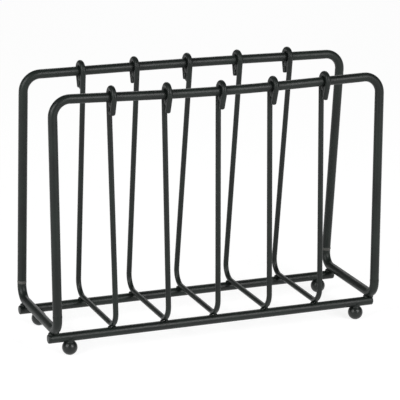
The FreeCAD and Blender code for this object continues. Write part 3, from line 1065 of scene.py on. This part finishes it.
@dataclass
class Welds:
    """All the weld metal on the rack, painted with it."""

    layout: Layout
    planes: list[DividerPlane]
    butts: dict[tuple[Side, End], WeldFinish] = field(default_factory=lambda: {
        (Side.FRONT, End.LEFT): WeldFinish.BLENDED, (Side.FRONT, End.RIGHT): WeldFinish.BLENDED,
        (Side.BACK, End.LEFT): WeldFinish.GROUND, (Side.BACK, End.RIGHT): WeldFinish.PROUD})
    run_in_tips: tuple[tuple[Side, int], ...] = ((Side.FRONT, 0), (Side.BACK, 0), (Side.BACK, 2))
    crossing_tilt: float = math.radians(24.0)
    yoke_bead: tuple[float, float] = (2.5 * MM, 3.3 * MM)
    divider_bead: tuple[float, float] = (1.9 * MM, 2.4 * MM)
    hook_bead_radii: tuple[float, float, float] = (2.5 * MM, 4.8 * MM, 4.4 * MM)
    tip_blend_radii: tuple[float, float, float] = (2.3 * MM, 5.2 * MM, 3.0 * MM)

    def crossing(self, x: float, side: Side, bead: tuple[float, float],
                 seed: int) -> list[bpy.types.Object]:
        """Beads in both corners where a rod lies across a base rail.

        Args:
            x: Place of the rod along the rack.
            side: Side of the rail.
            bead: The beads' size, and how far out from the rod's middle they lie.
            seed: Seed of the first bead; the second takes the next.

        Returns:
            The two beads.
        """
        size, out = bead
        beads = []
        for end in End:
            tilt = self.crossing_tilt * end.value
            axes = np.array([[math.cos(tilt), 0.0, math.sin(tilt)], [0.0, 1.0, 0.0],
                             [-math.sin(tilt), 0.0, math.cos(tilt)]])
            radii = (size * 1.02, size * 1.22, size * 0.92)
            centre = self.layout.crossing(side, x + end.value * out)
            beads.append(WeldBead(centre, radii, axes, seed + (end.value + 1) // 2).build())
        return beads

    def hook_bead(self, plane: DividerPlane, side: Side, seed: int) -> bpy.types.Object:
        """Weld laid inside a hook, under the top rail, between the divider's leg and its stub."""
        plan = self.layout
        drop = plan.rod_radius + 2.4 * MM
        centre = plane.point(side, plan.top_half_depth - 0.4 * MM, plane.rail_up(side) - drop)
        axes = np.array([[1.0, 0.0, 0.0], [0.0, 1.0, 0.0], [math.sin(plane.lean), 0.0, 1.0]])
        return WeldBead(centre, self.hook_bead_radii, axes, seed).build()

    def tip_blend(self, plane: DividerPlane, side: Side, seed: int) -> bpy.types.Object:
        """Paint and weld that run a hook's tip into the divider's leg.

        The lump is a tilted ellipsoid, centred a little nearer the tip than the leg.
        """
        tip = plane.half(side)[0]
        lean, corner = plane.leg(side)
        up = plane.rail_up(side) - self.layout.tip_drop
        leg = plane.point(side, corner - up * math.tan(lean), up)
        centre = leg + 0.55 * (tip - leg) + np.array([0.0, 0.0, 1.6 * MM])
        slope = math.atan2(3.6 * MM, abs(tip[1] - leg[1])) * side.value
        axes = np.array([[1.0, 0.0, 0.0], [0.0, math.cos(slope), math.sin(slope)],
                         [0.0, -math.sin(slope), math.cos(slope)]])
        return WeldBead(centre, self.tip_blend_radii, axes, seed, roughness=0.07).build()

    def build(self) -> None:
        """Lay every weld."""
        plan = self.layout
        bright, quiet = [], []
        for seed, ((side, end), finish) in enumerate(self.butts.items()):
            ring = ButtWeld(plan, side, end, finish, 91 + seed).build()
            (quiet if finish is WeldFinish.BLENDED else bright).append(ring)
        WELD_PAINT.dress(joined("front_butt_welds", quiet), "hoop_butt_welds")
        # The back butt weld rings take the pale grey finish, a painted highlight.
        PALE_WELD_HIGHLIGHT.dress(joined("back_butt_welds", bright))
        for end in End:
            beads = []
            for side in Side:
                seed = 101 + 10 * (end.value + 1) + 4 * (side.value + 1)
                beads += self.crossing(end.value * plan.base_half_span, side, self.yoke_bead, seed)
            name = f"{end.word}_yoke_welds"
            WELD_PAINT.dress(joined(name + "_laid", beads), name)
        for side in Side:
            beads, hooks = [], []
            for plane in self.planes:
                seed = 141 + 20 * (side.value + 1) + 3 * plane.index
                beads += self.crossing(plane.base_x, side, self.divider_bead, seed)
                hooks.append(self.hook_bead(plane, side, seed + 200))
                if (side, plane.index) in self.run_in_tips:
                    hooks.append(self.tip_blend(plane, side, seed + 400))
            for name, laid in ((f"{side.word}_divider_welds", beads), (f"{side.word}_hook_welds", hooks)):
                WELD_PAINT.dress(joined(name + "_laid", laid), name)


# ---------------------------------------------------------------- studio

@dataclass
class Softbox:
    """One rectangular soft light."""

    name: str
    place: tuple[float, float, float]
    aim: tuple[float, float, float]
    size: tuple[float, float]
    power: float

    def build(self) -> None:
        """Hang the light and turn it to its aim."""
        lamp = bpy.data.lights.new(self.name, "AREA")
        lamp.shape = "RECTANGLE"
        lamp.size, lamp.size_y = self.size
        lamp.energy = self.power
        holder = bpy.data.objects.new(self.name, lamp)
        holder.location = self.place
        holder.rotation_euler = (Vector(self.aim) - Vector(self.place)).to_track_quat("-Z", "Y").to_euler()
        bpy.context.scene.collection.objects.link(holder)


@dataclass
class Studio:
    """Pale floor, soft light and the camera."""

    camera_place: tuple[float, float, float] = (-0.76753, -1.82559, 0.71880)
    yaw: float = 0.39742
    pitch: float = 0.28687
    roll: float = 0.02169
    lens: float = 178.69
    sensor: float = 36.0
    floor_half: float = 6.0
    floor_shade: float = 0.3
    floor_glow: float = 0.84
    wall_light: float = 0.30
    roof_light: float = 0.13
    softboxes: tuple[Softbox, ...] = (
        Softbox("left_softbox", (-1.62, -0.66, 0.98), (0.0, 0.0, 0.15), (0.85, 1.0), 23.0),
        Softbox("right_softbox", (0.66, -1.62, 0.98), (0.0, 0.0, 0.15), (0.85, 1.0), 23.0),
        Softbox("back_softbox", (0.9, 2.2, 1.5), (0.0, 0.0, 0.15), (1.0, 1.0), 8.0),
    )

    def ray(self, graph: Graph, *kinds: str) -> Value:
        """One for a ray of any of these kinds, and zero for the rest.

        Args:
            graph: The node tree to add to.
            kinds: Names of Light Path's outputs.

        Returns:
            The value.
        """
        found = graph.node("ShaderNodeLightPath", {}, {}, kinds[0])
        for kind in kinds[1:]:
            here = graph.node("ShaderNodeLightPath", {}, {}, kind)
            found = found.larger(here)
        return found

    def floor(self) -> None:
        """Lay a pale floor that shows the rack's shadow."""
        half = self.floor_half
        mesh = bpy.data.meshes.new("floor")
        corners_xy = [(-half, -half, 0), (half, -half, 0), (half, half, 0), (-half, half, 0)]
        mesh.from_pydata(corners_xy, [], [(0, 1, 2, 3)])
        floor = bpy.data.objects.new("floor", mesh)
        bpy.context.scene.collection.objects.link(floor)
        material = bpy.data.materials.new("pale_floor")
        material.use_nodes = True
        graph = Graph(material.node_tree)
        pale = (self.floor_shade,) * 3 + (1.0,)
        matt = graph.node("ShaderNodeBsdfDiffuse", {}, {"Color": pale})
        glow = graph.node("ShaderNodeEmission", {}, {"Color": WHITE, "Strength": self.floor_glow})
        lit = graph.node("ShaderNodeAddShader", {}, {0: matt, 1: glow})
        seen = self.ray(graph, "Is Camera Ray", "Is Glossy Ray", "Is Transmission Ray")
        shown = graph.node("ShaderNodeMixShader", {}, {0: seen, 1: matt, 2: lit})
        graph.output("ShaderNodeOutputMaterial", shown)
        mesh.materials.append(material)

    def world(self) -> None:
        """White to the eye, a white backdrop in reflections, and a dim room round them.

        The backdrop stands across the floor from the camera: a direction d is on it where
        d . (sin yaw, cos yaw, 0) is near one and d is not far above the floor.
        """
        world = bpy.data.worlds.new("studio")
        bpy.context.scene.world = world
        world.use_nodes = True
        graph = Graph(world.node_tree)
        direction = graph.node("ShaderNodeTexCoord", {}, {}, "Generated")
        height = graph.node("ShaderNodeSeparateXYZ", {}, {"Vector": direction}, "Z")
        across = (math.sin(self.yaw), math.cos(self.yaw), 0.0)
        facing = graph.node("ShaderNodeVectorMath", {"operation": "DOT_PRODUCT"},
                            {0: direction, 1: across}, "Value")
        ceiling = height.band(0.2, 0.5)
        backdrop = facing.band(0.91, 0.98) * (1.0 - height.band(0.12, 0.32))
        white = self.ray(graph, "Is Glossy Ray", "Is Transmission Ray") * backdrop
        white = white.larger(self.ray(graph, "Is Camera Ray"))
        walls, roof, paper = (
            graph.node("ShaderNodeBackground", {}, {"Color": WHITE, "Strength": strength})
            for strength in (self.wall_light, self.roof_light, 1.0))
        room = graph.node("ShaderNodeMixShader", {}, {0: ceiling, 1: walls, 2: roof})
        shown = graph.node("ShaderNodeMixShader", {}, {0: white, 1: room, 2: paper})
        graph.output("ShaderNodeOutputWorld", shown)

    def camera(self) -> None:
        """Stand the camera at the front left, looking a little down."""
        level = math.cos(self.pitch)
        ahead = np.array([math.sin(self.yaw) * level, math.cos(self.yaw) * level, -math.sin(self.pitch)])
        right = np.array([math.cos(self.yaw), -math.sin(self.yaw), 0.0])
        up = np.cross(right, ahead)
        turned_right = math.cos(self.roll) * right + math.sin(self.roll) * up
        turned_up = -math.sin(self.roll) * right + math.cos(self.roll) * up
        lens = bpy.data.cameras.new("camera")
        lens.sensor_width = self.sensor
        lens.lens = self.lens
        lens.clip_end = 50.0
        camera = bpy.data.objects.new("camera", lens)
        columns = np.stack([turned_right, turned_up, -ahead], axis=1)
        turn = Matrix(columns.tolist()).to_4x4()
        camera.matrix_world = Matrix.Translation(self.camera_place) @ turn
        bpy.context.scene.collection.objects.link(camera)
        bpy.context.scene.camera = camera

    def build(self) -> None:
        """Set up the whole studio."""
        self.floor()
        self.world()
        for softbox in self.softboxes:
            softbox.build()
        self.camera()
        bpy.context.scene.view_settings.view_transform = "Standard"


def corners(box: Sequence[Sequence[float]]) -> list[list[float]]:
    """A box's two corners as plain lists."""
    return [[float(x) for x in corner] for corner in box]


def main() -> None:
    """Build the rack around the frame, and the studio around the rack."""
    logging.basicConfig(level=logging.INFO, format="%(name)s: %(message)s")
    layout = Layout()
    planes = [DividerPlane(layout, index) for index in range(DIVIDER_COUNT)]
    for assembly in (Hoops(layout, planes), BaseYokes(layout), BaseRails(layout, planes),
                     Dividers(layout, planes), BallFeet(layout), Welds(layout, planes)):
        assembly.build()
        log.info("%s built", type(assembly).__name__)
    Studio().build()


if __name__ == "__main__":
    main()
